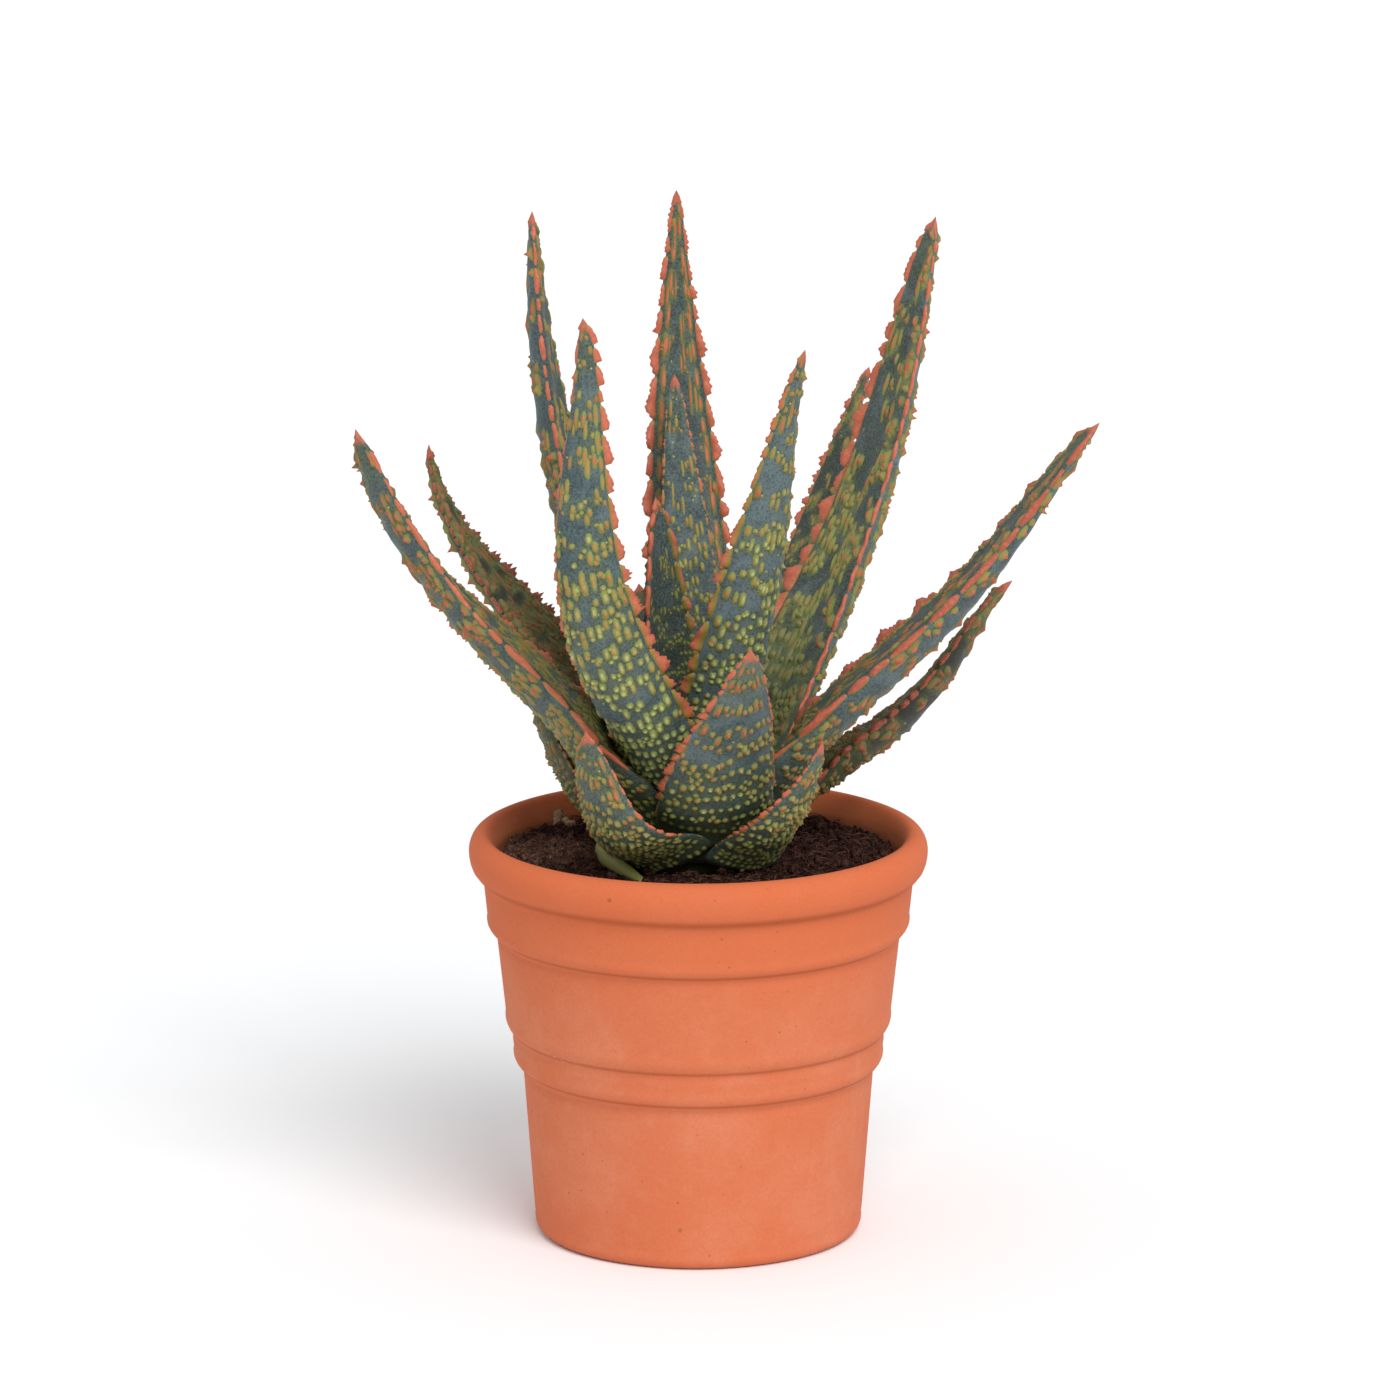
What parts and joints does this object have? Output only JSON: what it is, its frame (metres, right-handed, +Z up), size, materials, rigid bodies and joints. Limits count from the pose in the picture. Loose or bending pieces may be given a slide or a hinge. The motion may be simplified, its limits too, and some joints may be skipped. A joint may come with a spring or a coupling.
{
  "type": "potted aloe",
  "caption": "Rosette of thick toothed, spotted blue-green aloe leaves standing in soil in a stepped round terracotta pot with a rolled rim.",
  "frame": {"origin": "centre of the pot's flat underside", "axes": "+Z up the pot's axis, -Y towards the front of the plant, +X to the viewer's right"},
  "size_m": [0.2078, 0.1856, 0.2948],
  "materials": {
    "terracotta": "matte",
    "potting_soil": "matte",
    "stem_skin": "matte",
    "leaf_skin": "satin"
  },
  "bodies": {
    "root": {"pot": "terracotta", "soil": "potting_soil", "stem": "stem_skin", "leaf_left_long": "leaf_skin", "leaf_left_back": "leaf_skin", "leaf_front_left": "leaf_skin", "leaf_tall_left": "leaf_skin", "leaf_tall_centre": "leaf_skin", "leaf_inner_back": "leaf_skin", "leaf_heart": "leaf_skin", "leaf_front_right": "leaf_skin", "leaf_tall_right": "leaf_skin", "leaf_right_back": "leaf_skin", "leaf_right_long": "leaf_skin", "leaf_right_low": "leaf_skin", "leaf_front_small": "leaf_skin", "leaf_sheath_left": "leaf_skin", "leaf_sheath_right": "leaf_skin", "leaf_left_low": "leaf_skin", "leaf_back_left": "leaf_skin", "leaf_back_right": "leaf_skin", "leaf_back_low": "leaf_skin", "leaf_back_sheath": "leaf_skin"}
  },
  "joints": []
}
